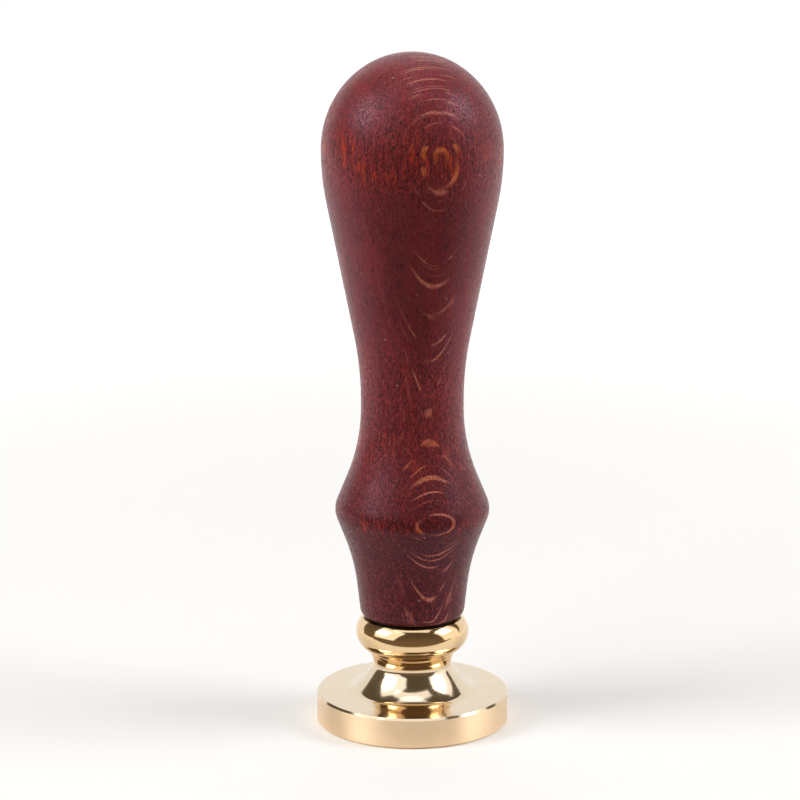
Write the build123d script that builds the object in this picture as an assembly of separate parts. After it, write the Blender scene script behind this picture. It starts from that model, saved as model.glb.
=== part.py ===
from build123d import *
import math
import os

# Wax seal stamp: a turned wooden handle screwed onto a turned brass seal head.
# Millimetres. The origin is the centre of the seal face, and +Z runs up the handle.

# Seal disc at the foot of the brass head
disc_diameter = 26.0
rim_height = 4.12
rim_edge_chamfer = 0.25
top_slope = 2.5  # degrees that the top of the disc falls towards its rim

# Neck and bead of the brass head
neck_diameter = 10.66
flare_foot_diameter = 16.8
flare_foot_angle = 39.0  # degrees above level where the flare leaves the disc
flare_neck_angle = 53.1  # degrees above level where the flare runs into the neck
flare_foot_radius = 2.2
flare_radius = 7.5
flare_neck_radius = 1.2
neck_land = 0.03
under_bead_radius = 2.55
bead_diameter = 15.32
bead_section_radius = 2.64
bead_seat_rise = 2.02  # from the widest point of the bead up to the flat seat

# Seal design cut into the face
seal_depth = 0.8
border_diameter = 23.4
border_width = 0.7
pearl_count = 36
pearl_diameter = 0.9
pearl_circle = 20.2
petal_count = 6
petal_start = 1.1
petal_end = 8.3
bud_diameter = 1.5
bud_circle = 13.6

# Screw thread between head and handle
thread_diameter = 7.0
thread_pitch = 1.0
thread_angle = 60.0
thread_clearance = 0.08
stud_in_head = 9.0
stud_in_handle = 15.7
stud_end_chamfer = 0.5
hole_spare = 1.0  # room left beyond each end of the stud
drill_angle = 118.0
mouth_chamfer = 0.4
glue_gap = 0.1

# Washer between brass and wood
washer_diameter = 11.6
washer_thickness = 0.3
washer_clearance = 0.1

# Turned handle; heights are measured from its lower end
handle_length = 75.32
foot_diameter = 13.9
foot_edge_radius = 1.0
cove_diameter = 15.7
cove_height = 7.8
cove_radius = 27.0
ridge_diameter = 21.2
ridge_height = 14.8
ridge_edge_radius = 3.3
waist_diameter = 13.7
waist_low_height = 23.85
waist_low_radius = 24.0
waist_high_height = 33.95
waist_high_radius = 42.0
bulb_diameter = 23.84
bulb_shoulder_drop = 3.6  # from the widest point down to where flank and bulb lines cross
bulb_shoulder_radius = 34.0
dome_height = 12.6

# Radii and heights that follow from the sizes above
disc_radius = disc_diameter / 2
neck_radius = neck_diameter / 2
bead_ring_radius = bead_diameter / 2 - bead_section_radius
rim_top_radius = disc_radius - rim_edge_chamfer
flare_foot = flare_foot_diameter / 2
flare_middle = (flare_foot + neck_radius) / 2
top_fall = math.tan(math.radians(top_slope))
foot_rise = math.tan(math.radians(flare_foot_angle))
neck_rise = math.tan(math.radians(flare_neck_angle))
neck_half_turn = math.radians(90 - flare_neck_angle) / 2
flare_foot_height = rim_height + (rim_top_radius - flare_foot) * top_fall
flare_middle_height = flare_foot_height + (flare_foot - flare_middle) * foot_rise
flare_neck_height = flare_middle_height + (flare_middle - neck_radius) * neck_rise
under_bead_height = flare_neck_height + flare_neck_radius * math.tan(neck_half_turn) + neck_land
bead_height = under_bead_height + math.sqrt(
    (under_bead_radius + bead_section_radius) ** 2
    - (neck_radius + under_bead_radius - bead_ring_radius) ** 2
)
head_height = bead_height + bead_seat_rise
handle_bottom = head_height + washer_thickness
stud_bottom = head_height - stud_in_head
stud_top = handle_bottom + stud_in_handle
thread_depth = 5 / 16 * thread_pitch / math.tan(math.radians(thread_angle / 2))
thread_start = stud_bottom + thread_pitch

STANDING = (Align.CENTER, Align.CENTER, Align.MIN)
QUARTER_ROUND = 4 / 3 * (math.sqrt(2) - 1)  # control handle of a curve that follows a quarter ellipse


def turned(outline):
    """Solid of revolution about Z from an outline of edges drawn as (radius, height)."""
    return revolve(Plane.XZ * make_face(outline), Axis.Z)


def roomy_radii(points, radii):
    """Corner radii, each held to what the two runs beside its corner leave room for."""
    limited = []
    for before, corner, after, radius in zip(points, points[1:], points[2:], radii):
        run_in = Vector(corner) - Vector(before)
        run_out = Vector(after) - Vector(corner)
        half_turn = math.radians(run_in.get_angle(run_out) / 2)
        room = 0.49 * min(run_in.length, run_out.length)
        if after is points[-1]:
            room = min(0.49 * run_in.length, 0.98 * run_out.length)
        limited.append(min(radius, room / math.tan(half_turn)))
    return limited


def drilled(radius, bottom, top):
    """Drilled hole from the top height down to its full-width bottom, with the drill's cone below."""
    cone_height = radius / math.tan(math.radians(drill_angle / 2))
    outline = Polyline(
        (0, bottom - cone_height), (radius, bottom), (radius, top), (0, top), close=True
    )
    return turned(outline)


def thread_ridge(bottom, turns, growth):
    """Helical ridge of the thread, its section grown evenly outward by the given clearance."""
    half_angle = math.radians(thread_angle / 2)
    root_overlap = thread_pitch / 10
    crest = thread_diameter / 2 + growth
    root = crest - thread_depth - root_overlap
    crest_half = thread_pitch / 16 + growth * (1 / math.cos(half_angle) - math.tan(half_angle))
    root_half = crest_half + (crest - root) * math.tan(half_angle)
    section = make_face(
        Polyline(
            (root, bottom - root_half),
            (crest, bottom - crest_half),
            (crest, bottom + crest_half),
            (root, bottom + root_half),
            close=True,
        )
    )
    path = Helix(thread_pitch, turns * thread_pitch, root, center=(0, 0, bottom))
    return sweep(Plane.XZ * section, path=path, is_frenet=True)


def head_blank():
    """Turned brass blank: disc, hollow flare, neck and bead, with a flat seat on top."""
    rim = Polyline(
        (0, 0),
        (rim_top_radius, 0),
        (disc_radius, rim_edge_chamfer),
        (disc_radius, rim_height - rim_edge_chamfer),
        (rim_top_radius, rim_height),
    )
    points = [
        (rim_top_radius, rim_height),
        (flare_foot, flare_foot_height),
        (flare_middle, flare_middle_height),
        (neck_radius, flare_neck_height),
        (neck_radius, under_bead_height),
    ]
    radii = [flare_foot_radius, flare_radius, flare_neck_radius]
    flare = FilletPolyline(*points, radius=roomy_radii(points, radii))
    under_center = (neck_radius + under_bead_radius, under_bead_height)
    bead_center = (bead_ring_radius, bead_height)
    meet_angle = math.degrees(
        math.atan2(bead_height - under_bead_height, bead_ring_radius - under_center[0])
    )
    seat_angle = math.degrees(math.asin(bead_seat_rise / bead_section_radius))
    under_bead = CenterArc(under_center, under_bead_radius, 180, meet_angle - 180)
    bead = CenterArc(bead_center, bead_section_radius, meet_angle - 180, seat_angle - meet_angle + 180)
    seat = Polyline(bead @ 1, (0, head_height), (0, 0))
    return turned(Curve() + [rim, flare, under_bead, bead, seat])


def petal():
    """Pointed petal along +X, bounded by two arcs of a sixth of a circle."""
    length = petal_end - petal_start
    one_side = RadiusArc((petal_start, 0), (petal_end, 0), length)
    other_side = RadiusArc((petal_end, 0), (petal_start, 0), length)
    return make_face(Curve() + [one_side, other_side])


def seal_design():
    """Six-petalled rosette with buds, a ring of pearls and a border line."""
    border = Circle(border_diameter / 2) - Circle(border_diameter / 2 - border_width)
    pearls = PolarLocations(pearl_circle / 2, pearl_count) * Circle(pearl_diameter / 2)
    petals = PolarLocations(0, petal_count) * petal()
    half_step = 180 / petal_count
    buds = PolarLocations(bud_circle / 2, petal_count, start_angle=half_step) * Circle(bud_diameter / 2)
    return [border, *pearls, *petals, *buds]


def stamp_head():
    """Brass head with its tapped hole and the seal cut into its face."""
    head = head_blank()
    bore_radius = thread_diameter / 2 - thread_depth + thread_clearance
    above = head_height + thread_pitch
    hole_bottom = stud_bottom - hole_spare
    first_turn = thread_start - thread_pitch
    turns = (above - first_turn) / thread_pitch
    tapped = drilled(bore_radius, hole_bottom, above) + thread_ridge(first_turn, turns, thread_clearance)
    mouth = Pos(0, 0, head_height) * chamfered_mouth()
    head = head - mouth - tapped
    for mark in seal_design():
        head = head - extrude(mark, seal_depth)
    return head


def chamfered_mouth():
    """Cone that opens the mouth of the tapped hole, hanging down from the seat."""
    wide = thread_diameter / 2 + thread_clearance + mouth_chamfer
    outline = Polyline((0, 0), (wide, 0), (0, -wide), close=True)
    return turned(outline)


def stud():
    """Threaded stud with plain chamfered ends."""
    length = stud_top - stud_bottom
    core = Pos(0, 0, stud_bottom) * Cylinder(thread_diameter / 2 - thread_depth, length, align=STANDING)
    core = chamfer(core.edges().filter_by(GeomType.CIRCLE), stud_end_chamfer)
    turns = math.floor(length / thread_pitch) - 2
    return core + thread_ridge(thread_start, turns, 0)


def washer():
    """Thin ring between the seat of the head and the end of the handle."""
    ring = Circle(washer_diameter / 2) - Circle(thread_diameter / 2 + washer_clearance)
    return Pos(0, 0, head_height) * extrude(ring, washer_thickness)


def handle():
    """Turned handle from its foot to its dome, with a blind hole for the stud."""
    dome_start = handle_length - dome_height
    points = [
        (0, 0),
        (foot_diameter / 2, 0),
        (cove_diameter / 2, cove_height),
        (ridge_diameter / 2, ridge_height),
        (waist_diameter / 2, waist_low_height),
        (waist_diameter / 2, waist_high_height),
        (bulb_diameter / 2, dome_start - bulb_shoulder_drop),
        (bulb_diameter / 2, dome_start),
    ]
    radii = [
        foot_edge_radius,
        cove_radius,
        ridge_edge_radius,
        waist_low_radius,
        waist_high_radius,
        bulb_shoulder_radius,
    ]
    side = FilletPolyline(*points, radius=roomy_radii(points, radii))
    bulb_radius = bulb_diameter / 2
    dome = Bezier(
        (bulb_radius, dome_start),
        (bulb_radius, dome_start + QUARTER_ROUND * dome_height),
        (QUARTER_ROUND * bulb_radius, handle_length),
        (0, handle_length),
    )
    axis = Line((0, handle_length), (0, 0))
    hole_radius = thread_diameter / 2 + glue_gap
    hole_depth = stud_in_handle + hole_spare
    hole = Rot(180, 0, 0) * drilled(hole_radius, -hole_depth, thread_pitch)
    blank = turned(Curve() + [side, dome, axis])
    return Pos(0, 0, handle_bottom) * (blank - hole)


PIECES = {
    "stamp_head": stamp_head,
    "stud": stud,
    "washer": washer,
    "handle": handle,
}


def main():
    os.makedirs("parts", exist_ok=True)
    for name, make in PIECES.items():
        solid = make()
        solid.label = name
        export_step(solid, f"parts/{name}.step")
    print(f"overall height {handle_bottom + handle_length:.3f}, head height {head_height:.3f}")
    print(f"neck narrowest at {under_bead_height:.3f}, bead at {bead_height:.3f}")


main()
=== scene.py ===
"""Looks of a wax seal stamp: stained wooden handle, turned brass head and the stud between them."""
import logging
import math
from dataclasses import dataclass, field
from enum import Enum, IntEnum

import bpy
import numpy as np
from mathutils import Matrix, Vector


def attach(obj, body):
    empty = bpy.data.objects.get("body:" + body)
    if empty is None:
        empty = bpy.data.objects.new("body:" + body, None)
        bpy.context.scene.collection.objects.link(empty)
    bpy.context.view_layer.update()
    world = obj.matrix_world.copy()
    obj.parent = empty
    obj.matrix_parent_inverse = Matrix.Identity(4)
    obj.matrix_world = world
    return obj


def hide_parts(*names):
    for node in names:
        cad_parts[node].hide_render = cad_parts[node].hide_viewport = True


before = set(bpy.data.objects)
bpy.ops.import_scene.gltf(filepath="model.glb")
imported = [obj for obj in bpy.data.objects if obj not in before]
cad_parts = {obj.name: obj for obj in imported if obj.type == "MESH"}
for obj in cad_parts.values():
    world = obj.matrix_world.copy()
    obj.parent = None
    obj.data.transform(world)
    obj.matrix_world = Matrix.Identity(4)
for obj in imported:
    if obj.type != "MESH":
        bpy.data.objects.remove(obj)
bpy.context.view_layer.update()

LOG = logging.getLogger("stamp")
Array = np.ndarray
Triple = tuple[float, float, float]
Point = tuple[float, float]
Socket = bpy.types.NodeSocket

MM = 0.001
FULL_TURN = 2 * math.pi
ORIGIN = (0.0, 0.0, 0.0)
UP = (0.0, 0.0, 1.0)
WHITE = (1.0, 1.0, 1.0)
BLACK = (0.0, 0.0, 0.0)
METAL = 1.0
# Angle of the side towards the camera, in degrees from X
FRONT = -90.0
# Points of an outline closer than this, in millimetres, count as one
SAME_PLACE = 1e-6
# Greatest turn between neighbouring points of an arc
FINEST_TURN = math.radians(3)
# Values that nearly all noise lies between, and the weight of its finer detail
NOISE_RANGE = (0.3, 0.7)
NOISE_ROUGHNESS = 0.55


class Body(Enum):
    """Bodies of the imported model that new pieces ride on."""

    HEAD = "head"
    HANDLE = "handle"


class Slot(Enum):
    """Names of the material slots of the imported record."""

    BRASS = "polished_brass"
    STEEL = "zinc_steel"
    WOOD = "stained_beech"


class HeadFinish(IntEnum):
    """Numbers of the finishes on the brass head."""

    POLISHED = 0
    SATIN = 1
    FACED = 2


def metres(*lengths: float) -> tuple[float, ...]:
    """Lengths in metres, from millimetres."""
    return tuple(MM * length for length in lengths)


def evenly_round(segments: int) -> Array:
    """Angles of points set evenly round the axis, in radians."""
    return np.arange(segments) * FULL_TURN / segments


def even_rows(start: float, end: float, count: int, length: int) -> Array:
    """Rows of equal values, running evenly from a first to a last row."""
    return np.repeat(np.linspace(start, end, count)[:, None], length, axis=1)


def rings_of(outline: Array, segments: int) -> tuple[Array, Array]:
    """Radius and height of an outline's points, each as rings by segments."""
    around = np.repeat(outline[:, None, :], segments, axis=1)
    return around[..., 0], around[..., 1]


# Outlines of turned pieces, as (radius, height) points in millimetres


def straight(start: Point, end: Point, step: float) -> Array:
    """Points along a straight run, at most one step apart.

    Args:
        start: First point.
        end: Last point.
        step: Greatest distance between neighbours.

    Returns:
        The points, both ends included.
    """
    count = max(1, math.ceil(math.dist(start, end) / step))
    share = np.linspace(0, 1, count + 1)[:, None]
    return np.array(start) * (1 - share) + np.array(end) * share


def arc(center: Point, radius: float, start: float, end: float, step: float) -> Array:
    """Points of an arc: the centre plus the radius times cosine and sine of an angle.

    Args:
        center: Centre of the arc.
        radius: Its radius.
        start: First angle, in radians from the radius axis.
        end: Last angle.
        step: Greatest distance between neighbours, which the finest turn limits too.

    Returns:
        The points, both ends included.
    """
    finest = min(step / radius, FINEST_TURN)
    angle = np.linspace(start, end, max(2, math.ceil(abs(end - start) / finest)) + 1)
    return np.array(center) + radius * np.stack([np.cos(angle), np.sin(angle)], axis=1)


def chain(*runs: Array) -> Array:
    """Runs of points joined end to end, with repeated points dropped.

    Args:
        runs: Points of each run, in order.

    Returns:
        All points in one array.
    """
    points = np.concatenate(runs)
    moved = np.linalg.norm(np.diff(points, axis=0), axis=1) > SAME_PLACE
    return points[np.concatenate([[True], moved])]


def rounded_line(points: list[Point], radii: list[float], step: float) -> Array:
    """Broken line whose inner corners are rounded by arcs that touch both of their runs.

    Args:
        points: Ends and corners of the line.
        radii: One radius for each inner corner.
        step: Greatest distance between neighbours.

    Returns:
        Points along the rounded line.
    """
    runs = []
    last = points[0]
    for before, corner, after, radius in zip(points, points[1:], points[2:], radii):
        back = np.subtract(before, corner) / math.dist(before, corner)
        ahead = np.subtract(after, corner) / math.dist(after, corner)
        half = math.acos(float(back @ ahead)) / 2
        middle = (back + ahead) / np.linalg.norm(back + ahead)
        center = np.array(corner) + middle * radius / math.sin(half)
        enter = np.array(corner) + back * radius / math.tan(half)
        leave = np.array(corner) + ahead * radius / math.tan(half)
        start = math.atan2(enter[1] - center[1], enter[0] - center[0])
        sweep = math.atan2(leave[1] - center[1], leave[0] - center[0]) - start
        sweep = (sweep + math.pi) % FULL_TURN - math.pi
        runs.append(straight(last, enter, step))
        runs.append(arc(center, radius, start, start + sweep, step))
        last = leave
    runs.append(straight(last, points[-1], step))
    return chain(*runs)


def smooth_step(value: Array) -> Array:
    """Rises from 0 to 1 as the value does, level at both ends: 3 t squared minus 2 t cubed."""
    share = np.clip(value, 0, 1)
    return share * share * (3 - 2 * share)


@dataclass
class Shell:
    """Closed surface gathered as whole arrays of points, faces and finish numbers."""

    points: list[Array] = field(default_factory=list)
    faces: list[Array] = field(default_factory=list)
    finish: list[Array] = field(default_factory=list)

    def count(self) -> int:
        """Number of points so far."""
        return sum(len(points) for points in self.points)

    def add_points(self, points: Array) -> int:
        """Adds points to the surface.

        Args:
            points: Places in millimetres.

        Returns:
            The number of the first of them.
        """
        first = self.count()
        self.points.append(points.reshape(-1, 3) * MM)
        return first

    def add_faces(self, faces: Array, finish: Array | int = 0) -> None:
        """Adds faces of one size, with one finish number for all or one each."""
        self.faces.append(faces)
        self.finish.append(np.broadcast_to(np.asarray(finish), len(faces)))

    def add_rings(self, radius: Array, height: Array, finish: Array | int = 0) -> int:
        """Surface round the axis: x is r cos a, y is r sin a and z is h, with a running once round.

        Args:
            radius: Distance from the axis, as rings by segments.
            height: Height, in the same shape.
            finish: One finish number, or one for each gap between rings.

        Returns:
            The number of the first point.
        """
        rings, segments = radius.shape
        angle = evenly_round(segments)
        places = np.stack([radius * np.cos(angle), radius * np.sin(angle), height], axis=-1)
        first = self.add_points(places)
        ring, segment = np.meshgrid(np.arange(rings - 1), np.arange(segments), indexing="ij")
        following = (segment + 1) % segments
        corners = [
            ring * segments + segment,
            ring * segments + following,
            (ring + 1) * segments + following,
            (ring + 1) * segments + segment,
        ]
        faces = first + np.stack(corners, axis=-1).reshape(-1, 4)
        each = np.repeat(np.broadcast_to(np.asarray(finish), rings - 1), segments)
        self.add_faces(faces, each)
        return first

    def fan(self, ring: int, segments: int, height: float) -> Array:
        """Triangles from a ring to a new point on the axis, facing out where an outline ends.

        Args:
            ring: Number of the ring's first point.
            segments: Points in the ring.
            height: Height of the new point.

        Returns:
            Corners of the triangles.
        """
        pole = self.add_points(np.array([[0.0, 0.0, height]]))
        segment = np.arange(segments)
        following = (segment + 1) % segments
        return np.stack([ring + segment, ring + following, np.full(segments, pole)], axis=1)

    def close_start(self, ring: int, segments: int, height: float, finish: int = 0) -> None:
        """Closes the ring that an outline starts from, with a point on the axis."""
        self.add_faces(self.fan(ring, segments, height)[:, ::-1], finish)

    def close_end(self, ring: int, segments: int, height: float, finish: int = 0) -> None:
        """Closes the ring that an outline ends on, with a point on the axis."""
        self.add_faces(self.fan(ring, segments, height), finish)

    def stitch(self, fine: int, coarse: int, segments: int, finish: int = 0) -> None:
        """Joins a ring to one with half as many segments, three triangles for each coarse segment.

        Args:
            fine: Number of the fine ring's first point.
            coarse: Number of the coarse ring's first point.
            segments: Points in the coarse ring.
            finish: Finish number.
        """
        here = np.arange(segments)
        there = (here + 1) % segments
        low, middle, high = fine + 2 * here, fine + 2 * here + 1, fine + 2 * there
        left, right = coarse + here, coarse + there
        for corners in ((low, middle, left), (middle, right, left), (middle, high, right)):
            self.add_faces(np.stack(corners, axis=1), finish)

    def to_object(
        self, name: str, materials: list[bpy.types.Material], crease: float
    ) -> bpy.types.Object:
        """Makes a Blender object from the arrays.

        Args:
            name: Name of the piece.
            materials: Finishes in the order of their numbers.
            crease: Angle in degrees above which an edge stays sharp.

        Returns:
            The object, linked to the scene.
        """
        points = np.concatenate(self.points)
        sizes = np.concatenate([np.full(len(faces), faces.shape[1]) for faces in self.faces])
        corners = np.concatenate([faces.ravel() for faces in self.faces])
        mesh = bpy.data.meshes.new(name)
        mesh.vertices.add(len(points))
        mesh.vertices.foreach_set("co", points.astype(np.float32).ravel())
        mesh.loops.add(len(corners))
        mesh.loops.foreach_set("vertex_index", corners.astype(np.int32))
        mesh.polygons.add(len(sizes))
        mesh.polygons.foreach_set("loop_start", (np.cumsum(sizes) - sizes).astype(np.int32))
        for material in materials:
            mesh.materials.append(material)
        mesh.polygons.foreach_set("material_index", np.concatenate(self.finish).astype(np.int32))
        mesh.update(calc_edges=True)
        mesh.validate()
        mesh.shade_smooth()
        mesh.set_sharp_from_angle(angle=math.radians(crease))
        made = bpy.data.objects.new(name, mesh)
        bpy.context.scene.collection.objects.link(made)
        return made


class Nodes:
    """Small hand for wiring a material: each method adds a node and returns its output."""

    def __init__(self, name: str) -> None:
        """Makes an empty material with a Principled shader.

        Args:
            name: Name of the material.
        """
        self.material = bpy.data.materials.new(name)
        self.material.use_nodes = True
        self.tree = self.material.node_tree
        self.shader = self.tree.nodes["Principled BSDF"]

    def add(self, kind: str, inputs: dict[str | int, object], **settings: object) -> bpy.types.Node:
        """Adds a node, sets its settings, and sets or links its inputs.

        Args:
            kind: Blender's name for the kind of node.
            inputs: Values or outputs for its inputs, by name or number.
            settings: Values of the node's own settings.

        Returns:
            The node.
        """
        node = self.tree.nodes.new(kind)
        for key, value in settings.items():
            setattr(node, key, value)
        for key, value in inputs.items():
            self.feed(node.inputs[key], value)
        return node

    def feed(self, socket: Socket, value: object) -> None:
        """Links a socket to an output, or sets its own value.

        Args:
            socket: The input.
            value: An output, a number or a tuple; a colour of three numbers is opaque.
        """
        if isinstance(value, bpy.types.NodeSocket):
            self.tree.links.new(value, socket)
        elif isinstance(value, tuple) and len(value) == 3 and socket.type == "RGBA":
            socket.default_value = (*value, 1.0)
        else:
            socket.default_value = value

    def place(self) -> Socket:
        """Place on the object, in metres."""
        return self.add("ShaderNodeTexCoord", {}).outputs["Object"]

    def axes(self) -> bpy.types.bpy_prop_collection:
        """Outputs X, Y and Z of the place, in metres."""
        return self.add("ShaderNodeSeparateXYZ", {"Vector": self.place()}).outputs

    def away_from(self, height: float) -> Socket:
        """Distance in metres above or below a height in millimetres."""
        return self.unsigned(self.minus(self.axes()["Z"], height * MM))

    def stretched(self, size: Triple, turn: float = 0.0, start: Triple = ORIGIN) -> Socket:
        """Place from a start, turned about the axis by an angle and measured in lengths.

        Args:
            size: Length in millimetres that counts as one, along each axis.
            turn: The angle, in radians.
            start: Where the measure starts, in millimetres.

        Returns:
            The measured place.
        """
        inputs = {
            "Vector": self.place(),
            "Location": metres(*start),
            "Rotation": (0.0, 0.0, turn),
            "Scale": metres(*size),
        }
        return self.add("ShaderNodeMapping", inputs, vector_type="TEXTURE").outputs[0]

    def noise(self, place: Socket, detail: float, bend: float = 0.0) -> Socket:
        """Cloudy noise with features about one unit across.

        Args:
            place: Where the noise is read.
            detail: Number of finer layers.
            bend: How far the noise is bent by itself.

        Returns:
            The noise, about 0.5 on average.
        """
        inputs = {
            "Vector": place,
            "Scale": 1.0,
            "Detail": detail,
            "Roughness": NOISE_ROUGHNESS,
            "Distortion": bend,
        }
        return self.add("ShaderNodeTexNoise", inputs).outputs["Fac"]

    def spread(
        self, value: Socket, low: float, high: float, to_low: float = 0.0, to_high: float = 1.0
    ) -> Socket:
        """Maps a value smoothly from one range to another, held at both ends.

        Args:
            value: The value.
            low: Lower end of its range.
            high: Upper end.
            to_low: Result at the lower end and below.
            to_high: Result at the upper end and above.

        Returns:
            The result.
        """
        inputs = {
            "Value": value,
            "From Min": low,
            "From Max": high,
            "To Min": to_low,
            "To Max": to_high,
        }
        node = self.add("ShaderNodeMapRange", inputs, interpolation_type="SMOOTHSTEP")
        return node.outputs["Result"]

    def gloss(self, noise: Socket, roughness: float, change: Point) -> Socket:
        """Roughness with a change at the low and the high end of a noise."""
        return self.spread(noise, *NOISE_RANGE, roughness + change[0], roughness + change[1])

    def reckon(self, kind: str, first: object, second: object = 0.0) -> Socket:
        """Result of one step of arithmetic."""
        return self.add("ShaderNodeMath", {0: first, 1: second}, operation=kind).outputs[0]

    def plus(self, first: object, second: object) -> Socket:
        """Sum of two values."""
        return self.reckon("ADD", first, second)

    def minus(self, first: object, second: object) -> Socket:
        """First value less the second."""
        return self.reckon("SUBTRACT", first, second)

    def times(self, first: object, second: object) -> Socket:
        """Product of two values."""
        return self.reckon("MULTIPLY", first, second)

    def over(self, first: object, second: object) -> Socket:
        """First value divided by the second."""
        return self.reckon("DIVIDE", first, second)

    def larger(self, first: object, second: object) -> Socket:
        """Larger of two values."""
        return self.reckon("MAXIMUM", first, second)

    def unsigned(self, value: object) -> Socket:
        """Value without its sign."""
        return self.reckon("ABSOLUTE", value)

    def root(self, value: object) -> Socket:
        """Square root of a value."""
        return self.reckon("SQRT", value)

    def blend(self, share: Socket, first: object, second: object) -> Socket:
        """Colour between two, by a share."""
        inputs = {0: share, 6: first, 7: second}
        return self.add("ShaderNodeMix", inputs, data_type="RGBA").outputs[2]

    def bump(self, height: Socket, depth: float) -> Socket:
        """Surface normal over a fine relief of that depth in millimetres."""
        inputs = {"Height": height, "Distance": depth * MM}
        return self.add("ShaderNodeBump", inputs).outputs["Normal"]

    def dress(self, **values: object) -> bpy.types.Material:
        """Sets or links sockets of the shader.

        Args:
            values: Values or outputs by the socket's name, with underscores for spaces.

        Returns:
            The material.
        """
        for key, value in values.items():
            socket = key.replace("_", " ").title().replace("Ior", "IOR")
            self.feed(self.shader.inputs[socket], value)
        return self.material


@dataclass(frozen=True)
class Marks:
    """Marks of one kind: noise with features of a size in millimetres, whose high values show."""

    size: Triple
    shown: Point = NOISE_RANGE
    strength: float = 1.0
    detail: float = 1.0
    bend: float = 0.0

    def noise(self, nodes: Nodes, turn: float = 0.0, start: Triple = ORIGIN) -> Socket:
        """Noise that the marks come from, turned about the axis and begun at a place."""
        return nodes.noise(nodes.stretched(self.size, turn, start), self.detail, self.bend)

    def share_of(self, nodes: Nodes, noise: Socket) -> Socket:
        """Share of the marks in a noise: none below the shown values, full above them."""
        return nodes.spread(noise, *self.shown, 0.0, self.strength)

    def share(self, nodes: Nodes) -> Socket:
        """Share of the marks in their own noise."""
        return self.share_of(nodes, self.noise(nodes))


@dataclass(frozen=True)
class TurnedBrass:
    """Brass with the fine rings that turning and polishing leave round its axis; millimetres."""

    name: str
    color: Triple
    tarnish: Triple
    roughness: float
    ring_roughness: float
    ring_width: float
    ring_depth: float
    wave_depth: float
    brushed: float
    # Noise that bends the rings, and slow clouds and waves
    ring_detail: float = 3.0
    drift: Marks = Marks((6.0, 6.0, 6.0))
    clouds: Marks = Marks((3.2, 3.2, 2.2), (0.42, 0.78), detail=4.0, bend=0.6)
    waves: Marks = Marks((1.5, 1.5, 2.0))
    # Values of the ring noise that tarnish comes in between, and how much of it
    tarnished_rings: Point = (0.50, 0.72)
    tarnished_share: float = 0.8
    # Highlights stretch across the brush marks, a quarter turn from the way round the axis
    brush_turn: float = 0.25
    relief_depth: float = 1.0

    def rings(self, nodes: Nodes) -> Socket:
        """Rings: noise over the distance from the axis and the height, both in ring widths.

        Args:
            nodes: Material that is wired.

        Returns:
            The noise.
        """
        axes = nodes.axes()
        squares = nodes.plus(nodes.times(axes["X"], axes["X"]), nodes.times(axes["Y"], axes["Y"]))
        across = nodes.over(nodes.root(squares), self.ring_width * MM)
        along = nodes.over(axes["Z"], self.ring_width * MM)
        inputs = {"X": across, "Y": along, "Z": self.drift.noise(nodes)}
        return nodes.noise(nodes.add("ShaderNodeCombineXYZ", inputs).outputs[0], self.ring_detail)

    def around(self, nodes: Nodes) -> Socket:
        """Direction round the axis: the axis crossed with the place."""
        inputs = {0: UP, 1: nodes.place()}
        return nodes.add("ShaderNodeVectorMath", inputs, operation="CROSS_PRODUCT").outputs[0]

    def material(self) -> bpy.types.Material:
        """Rings, with slow waves of polishing and clouds of tarnish over them.

        Returns:
            The material.
        """
        nodes = Nodes(self.name)
        rings = self.rings(nodes)
        lines = nodes.spread(rings, *self.tarnished_rings, 0.0, self.tarnished_share)
        dull = nodes.larger(self.clouds.share(nodes), lines)
        waves = nodes.times(self.waves.noise(nodes), self.wave_depth)
        relief = nodes.plus(nodes.times(rings, self.ring_depth), waves)
        return nodes.dress(
            base_color=nodes.blend(dull, self.color, self.tarnish),
            metallic=METAL,
            roughness=nodes.gloss(rings, self.roughness, (0.0, self.ring_roughness)),
            normal=nodes.bump(relief, self.relief_depth),
            anisotropic=self.brushed,
            anisotropic_rotation=self.brush_turn,
            tangent=self.around(nodes),
        )


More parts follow.
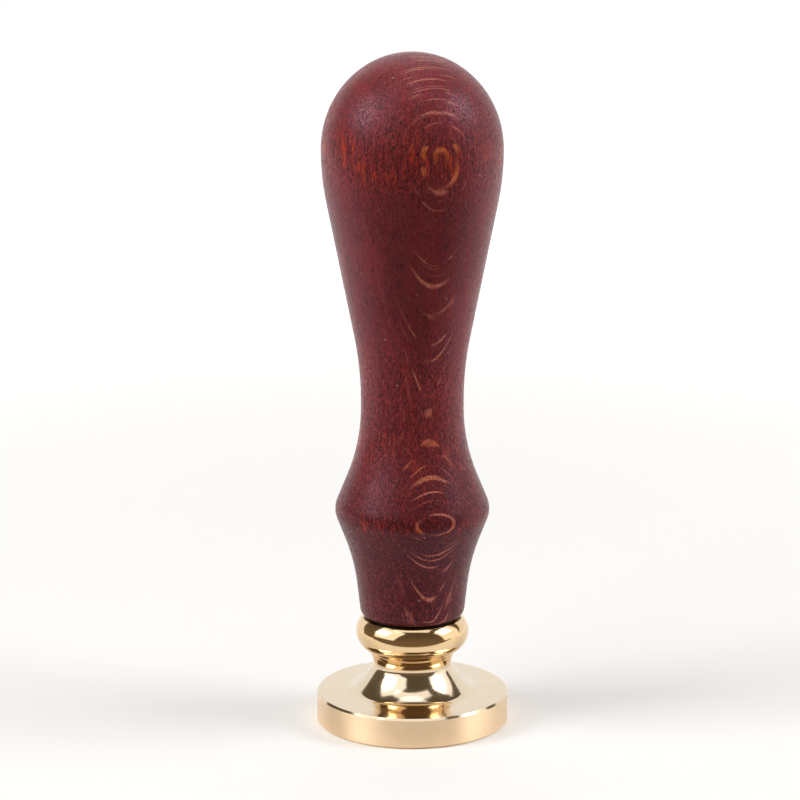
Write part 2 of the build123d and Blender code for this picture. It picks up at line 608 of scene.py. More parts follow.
@dataclass(frozen=True)
class StainedBeech:
    """Beech under a dark red stain: ray flecks in upright sheets, pores along the grain, sheen.

    Sizes and heights are in millimetres, and shares run from 0 to 1.
    """

    name: str
    # Colours of the stain and of the marks in it
    # The foot's colour is painted shade, darker towards the bottom of the handle below the ridge
    foot: Triple
    streak: Triple
    dark: Triple
    middle: Triple
    red: Triple
    glow: Triple
    # glow lightens the fibres, and the grit's painted glints
    bare: Triple
    fleck: Triple
    bare_fleck: Triple
    pore: Triple
    speck: Triple
    # Where ray sheets and their patches start, the side they face and how far they reach from it
    sheet_start: float
    patch_start: Triple
    fleck_facing: float
    fleck_reach: Point
    # Bands of thin stain as height, reach and strength, and where their patches start
    worn_bands: tuple[Triple, ...]
    worn_start: Triple
    # Heights that the painted shade at the foot fades out between, and the band where the grain is
    # finest
    painted_shade_heights: Point
    smooth_height: float
    smooth_reach: Point
    roughness: float
    specular: float
    specular_tint: Triple
    # Marks of the stain, the grain with painted glints, the pores and the rays
    stain: Marks = Marks((4.0, 4.0, 9.0), (0.35, 0.65), detail=3.0, bend=0.4)
    layers: Marks = Marks((14.0, 1.1, 26.0), (0.45, 0.70), 0.5, detail=2.0, bend=0.3)
    fibres: Marks = Marks((0.20, 0.20, 0.8), (0.51, 0.66), 0.5, detail=2.0)
    # Grit: fine light specks, partly grain and partly painted glints
    grit_and_glints: Marks = Marks((0.13, 0.13, 0.26), (0.54, 0.63), 0.95)
    streaks: Marks = Marks((0.42, 0.42, 4.0), (0.50, 0.62), detail=2.0, bend=0.3)
    uneven: Marks = Marks((5.0, 5.0, 5.0), (0.45, 0.62))
    pores: Marks = Marks((0.17, 0.17, 0.65), (0.53, 0.62))
    vessels: Marks = Marks((0.30, 0.30, 1.8), (0.72, 0.80), 0.7, detail=0.0)
    sheets: Marks = Marks((0.20, 1.0e4, 25.0), (0.565, 0.63))
    patches: Marks = Marks((0.45, 5.0, 2.2), (0.42, 0.58), bend=0.3)
    specks: Marks = Marks((0.4, 0.4, 0.4), (0.85, 0.88), detail=0.0)
    # Shares of marks in the worn bands, of the painted shade and of marks at the foot, and in the
    # smooth band
    worn_red: float = 0.3
    painted_shade_share: float = 0.9
    foot_fibres: float = 0.35
    foot_grit_and_glints: float = 0.65
    smooth_share: float = 0.45
    # Streak values that soaked-in stain goes out between, and its share
    soaked_streaks: Point = (0.36, 0.52)
    soaked_share: float = 0.55
    pore_share: float = 0.75
    # Heights below which more of the ray sheets show, and by how much
    low_heights: Point = (24.0, 30.0)
    low_gain: float = 0.03
    # Share of flecks far from where they face out, and how fibres break them up
    fleck_rest: float = 0.12
    fleck_fibres: Point = (0.36, 0.56)
    fleck_least: float = 0.5
    gloss_change: Point = (-0.05, 0.08)
    pore_roughness: float = 0.2
    relief_depth: float = 0.018

    @property
    def turn(self) -> float:
        """Turn about the axis that lays X square to the ray sheets."""
        return math.radians(self.fleck_facing + FRONT)

    def aside(self, nodes: Nodes) -> Socket:
        """Distance to either side of the plane through the axis that lies square to the ray sheets.

        Args:
            nodes: Material that is wired.

        Returns:
            The distance, in metres.
        """
        inputs = {0: nodes.place(), 1: (-math.sin(self.turn), math.cos(self.turn), 0.0)}
        across = nodes.add("ShaderNodeVectorMath", inputs, operation="DOT_PRODUCT")
        return nodes.unsigned(across.outputs["Value"])

    def flecks(self, nodes: Nodes) -> Socket:
        """Ray flecks: thin sheets broken into patches, fading beside the line where they face out.

        Args:
            nodes: Material that is wired.

        Returns:
            Their share.
        """
        turn = self.turn
        start = (self.sheet_start * math.cos(turn), self.sheet_start * math.sin(turn), 0.0)
        low = nodes.spread(nodes.axes()["Z"], *metres(*self.low_heights), self.low_gain, 0.0)
        sheets = nodes.plus(self.sheets.noise(nodes, turn, start), low)
        patches = self.patches.noise(nodes, turn, self.patch_start)
        thin = self.sheets.share_of(nodes, sheets)
        thin = nodes.times(thin, self.patches.share_of(nodes, patches))
        facing = nodes.spread(self.aside(nodes), *metres(*self.fleck_reach), 1.0, self.fleck_rest)
        return nodes.times(thin, facing)

    def worn(self, nodes: Nodes) -> Socket:
        """Thin stain: bands round the axis, each with a height, a reach and a strength.

        Args:
            nodes: Material that is wired.

        Returns:
            Its share.
        """
        share = 0.0
        for height, reach, strength in self.worn_bands:
            band = nodes.spread(nodes.away_from(height), 0.0, reach * MM, strength, 0.0)
            share = nodes.larger(share, band)
        return share

    def ground(self, nodes: Nodes, worn: Socket, foot: Socket) -> Socket:
        """Colour under the grain: clouds of stain, layers of growth, worn bands and painted shade
        at the foot.

        Args:
            nodes: Material that is wired.
            worn: Share of thin stain.
            foot: Share of the painted shade at the foot.

        Returns:
            The colour.
        """
        layers = self.layers.share_of(nodes, self.layers.noise(nodes, self.turn))
        color = nodes.blend(self.stain.share(nodes), self.dark, self.middle)
        color = nodes.blend(layers, color, self.red)
        color = nodes.blend(nodes.spread(worn, 0.0, 1.0, 0.0, self.worn_red), color, self.red)
        return nodes.blend(foot, color, self.foot)

    def streaked(self, nodes: Nodes, worn: Socket, color: object) -> Socket:
        """Streaks in the worn bands: dark where stain soaked in, and bare wood in patches.

        Args:
            nodes: Material that is wired.
            worn: Share of thin stain.
            color: Colour without the streaks.

        Returns:
            The colour with them.
        """
        noise = self.streaks.noise(nodes)
        soaked = nodes.spread(noise, *self.soaked_streaks, self.soaked_share, 0.0)
        color = nodes.blend(nodes.times(worn, soaked), color, self.streak)
        uneven = self.uneven.share_of(nodes, self.uneven.noise(nodes, start=self.worn_start))
        bare = nodes.times(nodes.times(worn, uneven), self.streaks.share_of(nodes, noise))
        return nodes.blend(bare, color, self.bare)

    def material(self) -> bpy.types.Material:
        """Stain, then light fibres, worn streaks, dark pores, ray flecks and specks over it.

        Returns:
            The material.
        """
        nodes = Nodes(self.name)
        worn = self.worn(nodes)
        height = nodes.axes()["Z"]
        # Painted shade: the colour darkens towards the bottom of the handle, below the ridge
        foot = nodes.spread(height, *metres(*self.painted_shade_heights), self.painted_shade_share, 0.0)
        from_smooth = nodes.away_from(self.smooth_height)
        coarse = nodes.spread(from_smooth, *metres(*self.smooth_reach), self.smooth_share, 1.0)
        fibre = self.fibres.noise(nodes)
        grit_and_glints = self.grit_and_glints.noise(nodes)
        color = self.ground(nodes, worn, foot)
        # Light fibres, and grit that is partly grain and partly painted glints
        light_grain_and_glints = ((self.fibres, fibre, self.foot_fibres), (self.grit_and_glints, grit_and_glints, self.foot_grit_and_glints))
        for marks, noise, left_at_foot in light_grain_and_glints:
            light = nodes.times(marks.share_of(nodes, noise), coarse)
            fade = nodes.spread(foot, 0.0, self.painted_shade_share, 1.0, left_at_foot)
            color = nodes.blend(nodes.times(light, fade), color, self.glow)
        color = self.streaked(nodes, worn, color)
        pores = nodes.spread(self.pores.share(nodes), 0.0, 1.0, 0.0, self.pore_share)
        dark = nodes.larger(nodes.times(pores, coarse), self.vessels.share(nodes))
        color = nodes.blend(dark, color, self.pore)
        broken = nodes.spread(fibre, *self.fleck_fibres, self.fleck_least, 1.0)
        rays = nodes.times(self.flecks(nodes), broken)
        color = nodes.blend(rays, color, nodes.blend(worn, self.fleck, self.bare_fleck))
        color = nodes.blend(self.specks.share(nodes), color, self.speck)
        sheen = nodes.gloss(fibre, self.roughness, self.gloss_change)
        matt_pores = nodes.spread(dark, 0.0, 1.0, 0.0, self.pore_roughness)
        relief = nodes.minus(nodes.plus(fibre, grit_and_glints), dark)
        return nodes.dress(
            base_color=color,
            roughness=nodes.plus(sheen, matt_pores),
            normal=nodes.bump(relief, self.relief_depth),
            specular_ior_level=self.specular,
            specular_tint=self.specular_tint,
        )


@dataclass(frozen=True)
class ZincSteel:
    """Steel under bright zinc, with a faint cloudy passivation; millimetres."""

    name: str
    color: Triple
    tint: Triple
    roughness: float
    clouds: Marks = Marks((1.6, 1.6, 1.6), (0.4, 0.7), detail=3.0)
    drag: Marks = Marks((0.2, 0.2, 0.04), detail=2.0)
    gloss_change: Point = (-0.08, 0.08)
    relief_depth: float = 0.004

    def material(self) -> bpy.types.Material:
        """Clouds shift the colour a little, and fine drag marks break the gloss.

        Returns:
            The material.
        """
        nodes = Nodes(self.name)
        drag = self.drag.noise(nodes)
        return nodes.dress(
            base_color=nodes.blend(self.clouds.share(nodes), self.color, self.tint),
            metallic=METAL,
            roughness=nodes.gloss(drag, self.roughness, self.gloss_change),
            normal=nodes.bump(drag, self.relief_depth),
        )


@dataclass(frozen=True)
class BlackFibre:
    """Pressed vulcanised fibre, black and matt; millimetres."""

    name: str
    color: Triple
    worn: Triple
    roughness: float
    fibres: Marks = Marks((0.25, 0.25, 0.1), (0.45, 0.75), detail=4.0, bend=1.5)
    gloss_change: Point = (-0.1, 0.05)
    relief_depth: float = 0.02

    def material(self) -> bpy.types.Material:
        """Short matted fibres lighten the surface here and there.

        Returns:
            The material.
        """
        nodes = Nodes(self.name)
        mat = self.fibres.noise(nodes)
        return nodes.dress(
            base_color=nodes.blend(self.fibres.share_of(nodes, mat), self.color, self.worn),
            roughness=nodes.gloss(mat, self.roughness, self.gloss_change),
            normal=nodes.bump(mat, self.relief_depth),
        )


@dataclass
class Thread:
    """Right-hand screw thread shared by the stud and the hole in the head, in millimetres."""

    diameter: float = 7.0
    pitch: float = 1.0
    half_angle: float = math.radians(30)
    clearance: float = 0.08

    @property
    def depth(self) -> float:
        """Height of the ridge: five sixteenths of the pitch over the tangent of the half angle."""
        return 5 / 16 * self.pitch / math.tan(self.half_angle)

    @property
    def core(self) -> float:
        """Radius at the foot of the ridge."""
        return self.diameter / 2 - self.depth

    def ridge(self, height: Array, angle: Array, start: float, growth: float) -> Array:
        """Ridge that climbs a pitch in a turn: sloping flanks and a crest of an eighth of a pitch.

        Args:
            height: Heights of the points.
            angle: Their angles round the axis.
            start: Height of the ridge's middle at angle 0.
            growth: Even clearance added to the section.

        Returns:
            How far each point stands above the core.
        """
        phase = (height - start) / self.pitch - angle / FULL_TURN
        away = np.abs(phase - np.round(phase)) * self.pitch
        slope = math.tan(self.half_angle)
        crest = self.pitch / 16 + growth * (1 / math.cos(self.half_angle) - slope)
        foot = crest + self.depth * slope
        return np.clip((foot - away) / slope, 0, self.depth)


@dataclass
class SealDesign:
    """Rosette cut into the face, in millimetres: border, ring of pearls, pointed petals, buds."""

    depth: float = 0.8
    wall: float = 0.16
    border_diameter: float = 23.4
    border_width: float = 0.7
    pearl_count: int = 36
    pearl_diameter: float = 0.9
    pearl_circle: float = 20.2
    petal_count: int = 6
    petal_start: float = 1.1
    petal_end: float = 8.3
    bud_diameter: float = 1.5
    bud_circle: float = 13.6

    def folded(
        self, radius: Array, angle: Array, count: int, offset: float = 0.0
    ) -> tuple[Array, Array]:
        """Plane coordinates after folding the turn into one of several equal sectors.

        Args:
            radius: Distances of the points from the axis.
            angle: Their angles.
            count: Number of sectors.
            offset: Angle of the middle of a sector.

        Returns:
            Coordinates along the middle of the sector and across it.
        """
        sector = FULL_TURN / count
        local = (angle - offset + sector / 2) % sector - sector / 2
        return radius * np.cos(local), radius * np.sin(local)

    def outside(self, radius: Array, angle: Array) -> Array:
        """Distance outside the nearest mark, negative inside it.

        Each mark is a circle, a ring, or for a petal the overlap of two circles whose radius is its
        length, so its distance is a plain length less a radius; the least of them all is the
        distance to the design.

        Args:
            radius: Distances of the points from the axis.
            angle: Their angles.

        Returns:
            Signed distances.
        """
        middle = (self.border_diameter - self.border_width) / 2
        border = np.abs(radius - middle) - self.border_width / 2
        x, y = self.folded(radius, angle, self.pearl_count)
        pearls = np.hypot(x - self.pearl_circle / 2, y) - self.pearl_diameter / 2
        x, y = self.folded(radius, angle, self.petal_count, FULL_TURN / self.petal_count / 2)
        buds = np.hypot(x - self.bud_circle / 2, y) - self.bud_diameter / 2
        x, y = self.folded(radius, angle, self.petal_count)
        length = self.petal_end - self.petal_start
        away = math.sqrt(3) / 2 * length
        petals = np.hypot(x - (self.petal_start + self.petal_end) / 2, np.abs(y) + away) - length
        return np.minimum(np.minimum(border, pearls), np.minimum(buds, petals))

    def cut(self, radius: Array, angle: Array) -> Array:
        """Depth of the engraving, with walls that slope over a short width."""
        return self.depth * smooth_step(0.5 - self.outside(radius, angle) / self.wall)


@dataclass
class BrassHead:
    """Turned brass head, in millimetres: engraved disc, hollow flare, neck, bead, tapped hole."""

    disc_diameter: float = 26.0
    rim_height: float = 4.12
    edge_chamfer: float = 0.25
    top_slope: float = math.radians(2.5)
    neck_diameter: float = 10.66
    flare_foot_diameter: float = 16.8
    flare_foot_angle: float = math.radians(39)
    flare_neck_angle: float = math.radians(53.1)
    flare_radii: Triple = (2.2, 7.5, 1.2)
    neck_land: float = 0.03
    under_bead_radius: float = 2.55
    bead_diameter: float = 15.32
    bead_section: float = 2.64
    bead_seat_rise: float = 2.02
    # Nicks in the rim's upper edge: degrees from the front and depth
    nicks: tuple[Point, ...] = (
        (-68, 0.05), (-54.6, 0.12), (-51, 0.06), (72, 0.06), (118, 0.09), (-150, 0.07),
    )
    nick_width: float = 1.3
    stud_reach: float = 9.0
    hole_spare: float = 1.0
    mouth_chamfer: float = 0.4
    drill_half_angle: float = math.radians(59)
    face_rings: int = 128
    hole_rings_per_pitch: int = 7
    segments: int = 192
    step: float = 0.35
    crease: float = 25.0
    thread: Thread = field(default_factory=Thread)
    design: SealDesign = field(default_factory=SealDesign)

    @property
    def rim_top(self) -> float:
        """Radius of the disc's top and bottom inside their chamfers."""
        return self.disc_diameter / 2 - self.edge_chamfer

    @property
    def mouth(self) -> float:
        """Radius of the hole's chamfered mouth."""
        return self.thread.diameter / 2 + self.thread.clearance + self.mouth_chamfer

    @property
    def flare_corners(self) -> list[Point]:
        """Corners of the line from the rim's edge up the hollow flare to the neck.

        Returns:
            The corners, from the rim up.
        """
        neck = self.neck_diameter / 2
        foot = self.flare_foot_diameter / 2
        middle = (foot + neck) / 2
        foot_height = self.rim_height + (self.rim_top - foot) * math.tan(self.top_slope)
        middle_height = foot_height + (foot - middle) * math.tan(self.flare_foot_angle)
        neck_height = middle_height + (middle - neck) * math.tan(self.flare_neck_angle)
        half_turn = (math.pi / 2 - self.flare_neck_angle) / 2
        land_height = neck_height + self.flare_radii[2] * math.tan(half_turn) + self.neck_land
        return [
            (self.rim_top, self.rim_height),
            (foot, foot_height),
            (middle, middle_height),
            (neck, neck_height),
            (neck, land_height),
        ]

    @property
    def bead_center(self) -> Point:
        """Centre of the bead's round section, which the hollow under it touches.

        Returns:
            Its radius and height.
        """
        neck, land_height = self.flare_corners[-1]
        ring = self.bead_diameter / 2 - self.bead_section
        between = self.under_bead_radius + self.bead_section
        aside = neck + self.under_bead_radius - ring
        return ring, land_height + math.sqrt(between**2 - aside**2)

    @property
    def height(self) -> float:
        """Height of the flat seat on top."""
        return self.bead_center[1] + self.bead_seat_rise

    def outline(self) -> tuple[Array, Array]:
        """Outline from the lower chamfer up to the mouth of the hole.

        Returns:
            The points, and the finish of each gap between them: satin rim, faced disc top and
            flare, polished above.
        """
        neck, land_height = self.flare_corners[-1]
        under = (neck + self.under_bead_radius, land_height)
        bead = self.bead_center
        meet = math.atan2(bead[1] - under[1], bead[0] - under[0])
        seat = math.asin(self.bead_seat_rise / self.bead_section)
        edge = self.disc_diameter / 2
        low, high = self.edge_chamfer, self.rim_height - self.edge_chamfer
        wall = straight((edge, low), (edge, high), self.step)
        points = chain(
            wall,
            rounded_line(self.flare_corners, list(self.flare_radii), self.step),
            arc(under, self.under_bead_radius, math.pi, meet, self.step),
            arc(bead, self.bead_section, meet - math.pi, seat, self.step),
            np.array([[self.mouth, self.height]]),
        )
        faced = points[1:, 1] <= land_height
        finish = np.where(faced, HeadFinish.FACED.value, HeadFinish.POLISHED.value)
        finish[: len(wall) - 1] = HeadFinish.SATIN.value
        return points, finish

    def nicked(self, radius: Array, height: Array) -> tuple[Array, Array]:
        """Dents the rim's upper edge: each nick is a bell over the angle, with a place and a depth.

        Args:
            radius: Distance of the outline's points from the axis, as rings by segments.
            height: Their heights.

        Returns:
            Radius and height with the nicks taken off.
        """
        around = np.degrees(evenly_round(self.segments)) - FRONT
        dent = np.zeros(self.segments)
        for place, depth in self.nicks:
            away = (around - place + 180) % 360 - 180
            dent += depth * np.exp(-((away / self.nick_width) ** 2))
        on_edge = np.abs(height - self.rim_height + self.edge_chamfer / 2) < self.edge_chamfer
        on_edge &= radius > self.rim_top - self.edge_chamfer
        return radius - np.where(on_edge, dent, 0), height - np.where(on_edge, dent / 2, 0)

    def add_face(self, shell: Shell) -> int:
        """Adds the engraved face: a height over radius and angle, closed at the axis.

        Args:
            shell: Surface that gets the face.

        Returns:
            Number of the first point of its outer ring.
        """
        segments = 2 * self.segments
        radius = even_rows(0, self.rim_top, self.face_rings + 1, segments)[1:]
        depth = self.design.cut(radius, evenly_round(segments))
        first = shell.add_rings(radius, depth, HeadFinish.SATIN.value)
        shell.close_start(first, segments, 0.0, HeadFinish.SATIN.value)
        return first + (self.face_rings - 1) * segments

    def add_hole(self, shell: Shell, seat_ring: int) -> None:
        """Adds the tapped hole: a bore whose radius swells along a helix, below a chamfered mouth.

        Args:
            shell: Surface that gets the hole.
            seat_ring: Number of the first point of the ring round its mouth.
        """
        thread = self.thread
        bottom = self.height - self.stud_reach - self.hole_spare
        bore = thread.core + thread.clearance
        rings = int((self.height - bottom) / thread.pitch * self.hole_rings_per_pitch)
        height = even_rows(self.height, bottom, rings, self.segments)
        start = self.height - self.stud_reach + thread.pitch
        swell = thread.ridge(height, evenly_round(self.segments), start, thread.clearance)
        swell *= smooth_step((height - bottom) / thread.pitch)
        radius = np.maximum(bore + swell, self.mouth - (self.height - height))
        first = shell.add_rings(radius, height, HeadFinish.SATIN.value)
        last = first + (rings - 1) * self.segments
        drill_tip = bottom - bore / math.tan(self.drill_half_angle)
        shell.close_end(last, self.segments, drill_tip, HeadFinish.SATIN.value)
        segment = np.arange(self.segments)
        following = (segment + 1) % self.segments
        band = (seat_ring + segment, seat_ring + following, first + following, first + segment)
        shell.add_faces(np.stack(band, axis=1), HeadFinish.POLISHED.value)

    def build(
        self, polished: TurnedBrass, satin: TurnedBrass, faced: TurnedBrass
    ) -> bpy.types.Object:
        """Makes the head as one closed surface and puts it in place of the CAD head.

        Args:
            polished: Finish of the neck and bead.
            satin: Finish of the rim's wall and the engraved face.
            faced: Finish of the disc's top and the flare.

        Returns:
            The finished piece.
        """
        shell = Shell()
        face_ring = self.add_face(shell)
        outline, finish = self.outline()
        radius, height = rings_of(outline[:-1], self.segments)
        first = shell.add_rings(*self.nicked(radius, height), finish[:-1])
        shell.stitch(face_ring, first, self.segments, HeadFinish.POLISHED.value)
        self.add_hole(shell, first + (len(outline) - 2) * self.segments)
        materials = [polished.material(), satin.material(), faced.material()]
        piece = shell.to_object("brass_head", materials, self.crease)
        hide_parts("stamp_head")
        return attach(piece, Body.HEAD.value)


@dataclass
class WoodHandle:
    """Turned handle from its foot to its dome; heights are from its lower end, in millimetres."""

    bottom: float
    length: float = 75.32
    foot_diameter: float = 13.9
    cove_diameter: float = 15.7
    cove_height: float = 7.8
    ridge_diameter: float = 21.2
    ridge_height: float = 14.8
    waist_diameter: float = 13.7
    waist_heights: Point = (23.85, 33.95)
    bulb_diameter: float = 23.84
    shoulder_drop: float = 3.6
    dome_height: float = 12.6
    corner_radii: tuple[float, ...] = (1.0, 27.0, 3.3, 24.0, 42.0, 34.0)
    hole_radius: float = 3.6
    hole_depth: float = 16.7
    drill_half_angle: float = math.radians(59)
    segments: int = 256
    dome_rings: int = 60
    step: float = 0.33
    hole_step: float = 1.32
    crease: float = 40.0

    def outline(self) -> Array:
        """Outline from the bottom of the blind hole, round the foot and up to the last ring.

        The dome is a quarter ellipse: bulb radius times cosine, and dome height times sine, of one
        angle.

        Returns:
            The points.
        """
        dome_start = self.length - self.dome_height
        bulb = self.bulb_diameter / 2
        corners = [
            (self.hole_radius, 0.0),
            (self.foot_diameter / 2, 0.0),
            (self.cove_diameter / 2, self.cove_height),
            (self.ridge_diameter / 2, self.ridge_height),
            (self.waist_diameter / 2, self.waist_heights[0]),
            (self.waist_diameter / 2, self.waist_heights[1]),
            (bulb, dome_start - self.shoulder_drop),
            (bulb, dome_start),
        ]
        side = rounded_line(corners, list(self.corner_radii), self.step)
        angle = np.linspace(0, math.pi / 2, self.dome_rings + 1)[:-1]
        dome_height = dome_start + self.dome_height * np.sin(angle)
        dome = np.stack([bulb * np.cos(angle), dome_height], axis=1)
        hole_end, hole_mouth = (self.hole_radius, self.hole_depth), (self.hole_radius, 0.0)
        return chain(straight(hole_end, hole_mouth, self.hole_step), side, dome)

    def build(self, wood: StainedBeech) -> bpy.types.Object:
        """Makes the handle as one closed surface and puts it in place of the CAD handle.

        Args:
            wood: Finish of the handle.

        Returns:
            The finished piece.
        """
        outline = self.outline()
        radius, height = rings_of(outline, self.segments)
        shell = Shell()
        first = shell.add_rings(radius, height + self.bottom)
        last = first + (len(outline) - 1) * self.segments
        drill_tip = self.hole_depth + self.hole_radius / math.tan(self.drill_half_angle)
        shell.close_start(first, self.segments, self.bottom + drill_tip)
        shell.close_end(last, self.segments, self.bottom + self.length)
        piece = shell.to_object("wood_handle", [wood.material()], self.crease)
        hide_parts("handle")
        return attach(piece, Body.HANDLE.value)


@dataclass
class SteelStud:
    """Threaded stud with plain chamfered ends, in millimetres."""

    bottom: float
    top: float
    end_chamfer: float = 0.5
    segments: int = 96
    rings_per_pitch: int = 14
    crease: float = 35.0
    thread: Thread = field(default_factory=Thread)

    def build(self, steel: ZincSteel) -> bpy.types.Object:
        """Makes the stud: its radius is the core plus the ridge at each height and angle.

        Args:
            steel: Finish of the stud.

        Returns:
            The finished piece, in place of the CAD stud.
        """
        thread = self.thread
        rings = int((self.top - self.bottom) / thread.pitch * self.rings_per_pitch)
        height = even_rows(self.bottom, self.top, rings, self.segments)
        start = self.bottom + thread.pitch
        ridge = thread.ridge(height, evenly_round(self.segments), start, 0.0)
        from_end = np.minimum(height - self.bottom, self.top - height)
        ridge *= smooth_step((from_end - self.end_chamfer) / (thread.pitch / 2))
        core = thread.core - np.maximum(0, self.end_chamfer - from_end)
        shell = Shell()
        first = shell.add_rings(core + ridge, height)
        shell.close_start(first, self.segments, self.bottom)
        shell.close_end(first + (rings - 1) * self.segments, self.segments, self.top)
        piece = shell.to_object("steel_stud", [steel.material()], self.crease)
        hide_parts("stud")
        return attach(piece, Body.HANDLE.value)


def direction(azimuth: Array, elevation: Array) -> Array:
    """Unit vectors from the stamp towards places round it.

    Args:
        azimuth: Angles round it in degrees, 0 being towards the camera.
        elevation: Angles above the table.

    Returns:
        The vectors: sine and minus cosine of the azimuth, both times the cosine of the elevation,
        and the elevation's sine.
    """
    turn, rise = np.radians(azimuth), np.radians(elevation)
    level = np.cos(rise)
    return np.stack([np.sin(turn) * level, -np.cos(turn) * level, np.sin(rise)], axis=-1)


def seen_ray(tree: bpy.types.NodeTree) -> Socket:
    """One for rays of the camera, of mirrors and through glass, and zero for light on the object.

    Args:
        tree: Material or world that is wired.

    Returns:
        The one or zero.
    """
    path = tree.nodes.new("ShaderNodeLightPath")
    seen = path.outputs["Is Camera Ray"]
    for kind in ("Is Glossy Ray", "Is Transmission Ray"):
        either = tree.nodes.new("ShaderNodeMath")
        either.operation = "MAXIMUM"
        tree.links.new(seen, either.inputs[0])
        tree.links.new(path.outputs[kind], either.inputs[1])
        seen = either.outputs[0]
    return seen


@dataclass(frozen=True)
class Softbox:
    """Large soft lamp aimed at the stamp from a direction in degrees and a distance in metres."""

    name: str
    azimuth: float
    elevation: float
    size: Point
    power: float
    distance: float = 0.9

    def build(self) -> bpy.types.Object:
        """Makes the lamp; it shows in reflections, but not to the camera.

        Returns:
            The lamp.
        """
        lamp = bpy.data.lights.new(self.name, "AREA")
        lamp.shape = "RECTANGLE"
        lamp.size, lamp.size_y = self.size
        lamp.energy = self.power
        made = bpy.data.objects.new(self.name, lamp)
        toward = Vector(direction(np.array(self.azimuth), np.array(self.elevation)))
        made.location = toward * self.distance
        made.rotation_euler = toward.to_track_quat("Z", "Y").to_euler()
        made.visible_camera = False
        bpy.context.scene.collection.objects.link(made)
        return made


@dataclass
class Studio:
    """Pale table, white surroundings, soft lamps and the dark side of the room that brass mirrors.

    Lengths are in metres and angles in degrees; the camera's focal length and axis are in pixels.
    """

    floor_half_width: float = 0.85
    floor_back: float = 2.0
    floor_front: float = -0.04
    floor_color: Triple = (0.9, 0.9, 0.9)
    floor_roughness: float = 0.7
    # The table's own light near the stamp and far away, and the distances it changes between
    fill: Point = (0.15, 0.6)
    fill_reach: Point = (0.08, 0.6)
    ambient: float = 0.45
    wall_radius: float = 1.2
    # Reach to the left and right, widening with each degree of height up to a limit
    wall_azimuth: Point = (113.0, 107.0)
    wall_widening: float = 0.75
    wall_limit: float = 150.0
    wall_elevation: Point = (-70.0, 75.0)
    wall_rows: int = 20
    wall_columns: int = 60
    wall_heights: Point = (0.0, 0.9)
    wall_low: Triple = (0.18, 0.125, 0.082)
    wall_high: Triple = (0.10, 0.078, 0.050)
    lamps: tuple[Softbox, ...] = (
        Softbox("left_softbox", -61, 38, (0.80, 0.86), 2.65),
        Softbox("left_core", -74, 39, (0.35, 0.35), 2.6, 0.85),
        Softbox("right_softbox", 88, 26, (0.75, 0.86), 2.25),
        Softbox("right_core", 84, 41, (0.35, 0.35), 2.2, 0.85),
        Softbox("top_softbox", 0, 75, (0.85, 0.26), 0.75),
    )
    camera_place: Triple = (0.0, -0.2883, 0.1012)
    camera_pitch: float = 11.19
    camera_focal: float = 2209.0
    camera_axis_x: float = 412.3
    image_width: float = 800.0

    def floor(self) -> None:
        """Lays the table top, which gives off light of its own only where it is seen."""
        half, front, back = self.floor_half_width, self.floor_front, self.floor_back
        mesh = bpy.data.meshes.new("table_top")
        corners = [(-half, front, 0), (half, front, 0), (half, back, 0), (-half, back, 0)]
        mesh.from_pydata(corners, [], [(0, 1, 2, 3)])
        nodes = Nodes("pale_table")
        length = nodes.add("ShaderNodeVectorMath", {0: nodes.place()}, operation="LENGTH")
        glow = nodes.spread(length.outputs["Value"], *self.fill_reach, *self.fill)
        finish = nodes.dress(
            base_color=self.floor_color,
            roughness=self.floor_roughness,
            emission_color=WHITE,
            emission_strength=nodes.times(glow, seen_ray(nodes.tree)),
        )
        mesh.materials.append(finish)
        table = bpy.data.objects.new("table_top", mesh)
        bpy.context.scene.collection.objects.link(table)

    def dark_side(self) -> None:
        """Hangs the room's dark side: part of a sphere, wider with height, unseen by the camera."""
        columns = self.wall_columns
        rise = even_rows(*self.wall_elevation, self.wall_rows + 1, columns + 1)
        widened = self.wall_widening * np.maximum(rise, 0)
        left, right = (np.minimum(self.wall_limit, side + widened) for side in self.wall_azimuth)
        turn = (left + right) * np.linspace(0, 1, columns + 1) - left
        points = self.wall_radius * direction(turn, rise).reshape(-1, 3)
        row, column = np.meshgrid(np.arange(self.wall_rows), np.arange(columns), indexing="ij")
        corner = row * (columns + 1) + column
        above = corner + columns + 1
        faces = np.stack([corner, corner + 1, above + 1, above], axis=-1).reshape(-1, 4)
        mesh = bpy.data.meshes.new("dark_side")
        mesh.from_pydata(points.tolist(), [], faces.tolist())
        nodes = Nodes("dark_room")
        share = nodes.spread(nodes.axes()["Z"], *self.wall_heights)
        finish = nodes.dress(
            base_color=BLACK,
            roughness=1.0,
            emission_color=nodes.blend(share, self.wall_low, self.wall_high),
            emission_strength=1.0,
        )
        mesh.materials.append(finish)
        wall = bpy.data.objects.new("dark_side", mesh)
        wall.visible_camera = False
        bpy.context.scene.collection.objects.link(wall)

    def surroundings(self) -> None:
        """White for the camera, mirrors and glass, and a plain level of light for the rest."""
        world = bpy.data.worlds.new("white_surroundings")
        bpy.context.scene.world = world
        world.use_nodes = True
        tree = world.node_tree
        level = tree.nodes.new("ShaderNodeMapRange")
        level.inputs["To Min"].default_value = self.ambient
        tree.links.new(seen_ray(tree), level.inputs["Value"])
        background = tree.nodes["Background"]
        background.inputs["Color"].default_value = (*WHITE, 1.0)
        tree.links.new(level.outputs["Result"], background.inputs["Strength"])

    def camera(self) -> None:
        """Sets up the camera at the photograph's place and angle."""
        lens = bpy.data.cameras.new("camera")
        lens.lens = lens.sensor_width * self.camera_focal / self.image_width
        lens.shift_x = 0.5 - self.camera_axis_x / self.image_width
        made = bpy.data.objects.new("camera", lens)
        made.location = self.camera_place
        made.rotation_euler = (math.radians(90 - self.camera_pitch), 0.0, 0.0)
        bpy.context.scene.collection.objects.link(made)
        bpy.context.scene.camera = made

    def build(self) -> None:
        """Sets up the table, the room, the lamps and the camera."""
        self.floor()
        self.dark_side()
        self.surroundings()
        for lamp in self.lamps:
            lamp.build()
        self.camera()
        bpy.context.scene.view_settings.view_transform = "Standard"


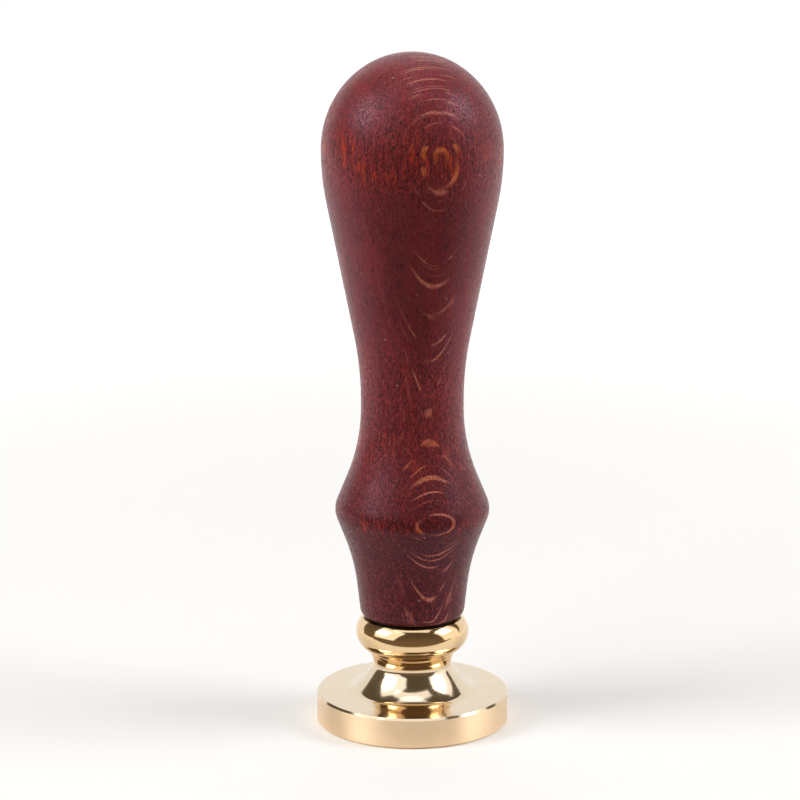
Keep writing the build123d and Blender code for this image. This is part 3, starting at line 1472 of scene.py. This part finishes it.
POLISHED_BRASS = TurnedBrass(
    name="polished_brass_turned",
    color=(0.84, 0.62, 0.36),
    tarnish=(0.79, 0.55, 0.29),
    roughness=0.07,
    ring_roughness=0.05,
    ring_width=0.09,
    ring_depth=0.0006,
    wave_depth=0.006,
    brushed=0.0,
)
FACED_BRASS = TurnedBrass(
    name="faced_brass_turned",
    color=(0.80, 0.665, 0.49),
    tarnish=(0.77, 0.63, 0.45),
    roughness=0.08,
    ring_roughness=0.06,
    ring_width=0.06,
    ring_depth=0.0008,
    wave_depth=0.010,
    brushed=0.0,
)
SATIN_BRASS = TurnedBrass(
    name="satin_brass_turned",
    color=(0.97, 0.740, 0.49),
    tarnish=(0.93, 0.690, 0.44),
    roughness=0.30,
    ring_roughness=0.10,
    ring_width=0.11,
    ring_depth=0.009,
    wave_depth=0.0,
    brushed=0.93,
)
BEECH = StainedBeech(
    name="beech_stained",
    # foot is painted shade at the bottom of the handle
    foot=(0.064, 0.0045, 0.0040),
    streak=(0.060, 0.0070, 0.0092),
    dark=(0.136, 0.0265, 0.0340),
    middle=(0.208, 0.0350, 0.0445),
    red=(0.250, 0.0205, 0.0220),
    glow=(0.40, 0.060, 0.058),
    # glow is the colour of the light fibres and of the painted glints in the grit
    bare=(0.50, 0.056, 0.020),
    fleck=(0.58, 0.19, 0.14),
    bare_fleck=(0.72, 0.165, 0.040),
    pore=(0.042, 0.0095, 0.0125),
    speck=(0.46, 0.24, 0.22),
    sheet_start=14.16,
    patch_start=(64.0, 64.0, 64.0),
    fleck_facing=17.7,
    fleck_reach=(1.6, 4.0),
    worn_bands=((77.0, 5.5, 1.0), (28.9, 1.5, 0.7), (39.0, 8.0, 0.5)),
    worn_start=(16.0, 0.0, 0.0),
    painted_shade_heights=(23.0, 46.0),
    smooth_height=62.0,
    smooth_reach=(5.6, 14.0),
    roughness=0.29,
    specular=0.24,
    specular_tint=(0.96, 0.74, 1.0),
)
STEEL = ZincSteel("zinc_plated_steel", (0.60, 0.61, 0.63), (0.66, 0.64, 0.56), 0.32)
FIBRE = BlackFibre("pressed_black_fibre", (0.018, 0.017, 0.017), (0.05, 0.047, 0.045), 0.75)

WASHER_THICKNESS = 0.3
STUD_IN_HANDLE = 15.7


def dress_washer() -> bpy.types.Object:
    """Gives the CAD washer, whose shape is right, its fibre finish.

    Returns:
        The washer.
    """
    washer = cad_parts["washer"]
    washer.data.materials.clear()
    washer.data.materials.append(FIBRE.material())
    return washer


def main() -> None:
    """Builds the pieces in order, then the studio round them."""
    logging.basicConfig(level=logging.INFO, format="%(message)s")
    head = BrassHead()
    seat = head.height
    handle = WoodHandle(bottom=seat + WASHER_THICKNESS)
    stud = SteelStud(bottom=seat - head.stud_reach, top=handle.bottom + STUD_IN_HANDLE)
    made = [
        head.build(POLISHED_BRASS, SATIN_BRASS, FACED_BRASS),
        dress_washer(),
        handle.build(BEECH),
        stud.build(STEEL),
    ]
    for piece in made:
        LOG.info("%s: %d faces", piece.name, len(piece.data.polygons))
    Studio().build()


if __name__ == "__main__":
    main()
